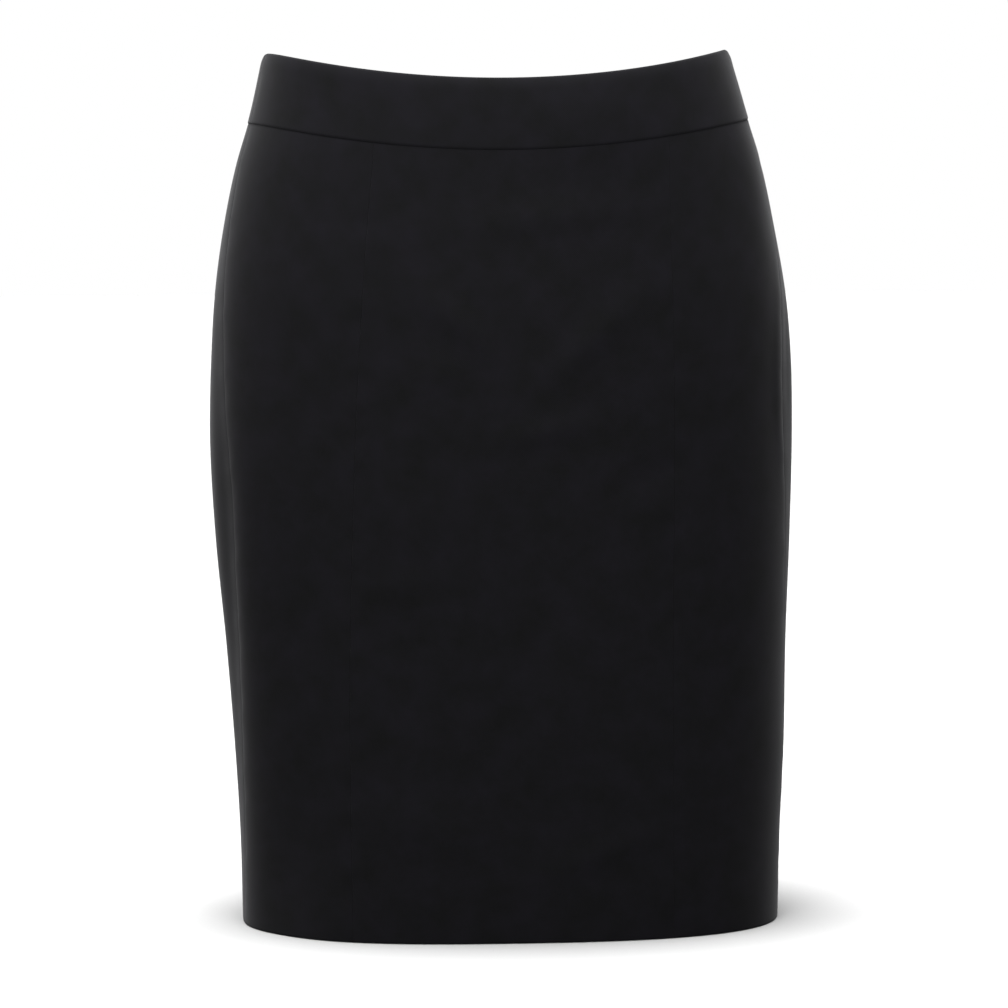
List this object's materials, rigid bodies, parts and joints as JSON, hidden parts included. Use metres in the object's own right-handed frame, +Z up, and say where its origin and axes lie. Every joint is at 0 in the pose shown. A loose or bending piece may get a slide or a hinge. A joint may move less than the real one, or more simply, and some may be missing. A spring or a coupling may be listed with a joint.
{
  "type": "pencil skirt",
  "caption": "Fitted pencil skirt in its worn form: contoured waistband, panelled front, back zip and walking vent; waist and hem are open.",
  "frame": {"origin": "middle of the waist, halfway down the waistband at its sides, where the wearer's waist holds the skirt", "axes": "+Z up, the front faces -Y, +X is the wearer's left"},
  "size_m": [0.3632, 0.2579, 0.541],
  "materials": {
    "suiting": "matte black woven suiting",
    "zip_tape": "black knitted polyester zip tape",
    "zip_metal": "black enamelled die-cast metal"
  },
  "bodies": {
    "skirt": {"waistband_front": "suiting", "waistband_back_left": "suiting", "waistband_back_right": "suiting", "front_centre": "suiting", "front_side_left": "suiting", "front_side_right": "suiting", "back_left": "suiting", "back_right": "suiting", "vent_underlap": "suiting", "zip_tape": "zip_tape", "zip_slider": "zip_metal"},
    "zip_pull": {"zip_pull": "zip_metal"}
  },
  "joints": [
    {"name": "zip_pull_hinge", "type": "hinge", "parent": "skirt", "child": "zip_pull", "pos_m": [0.00028, 0.1167, -0.0032], "axis": [1, 0, 0], "range_deg": [0, 150]}
  ]
}
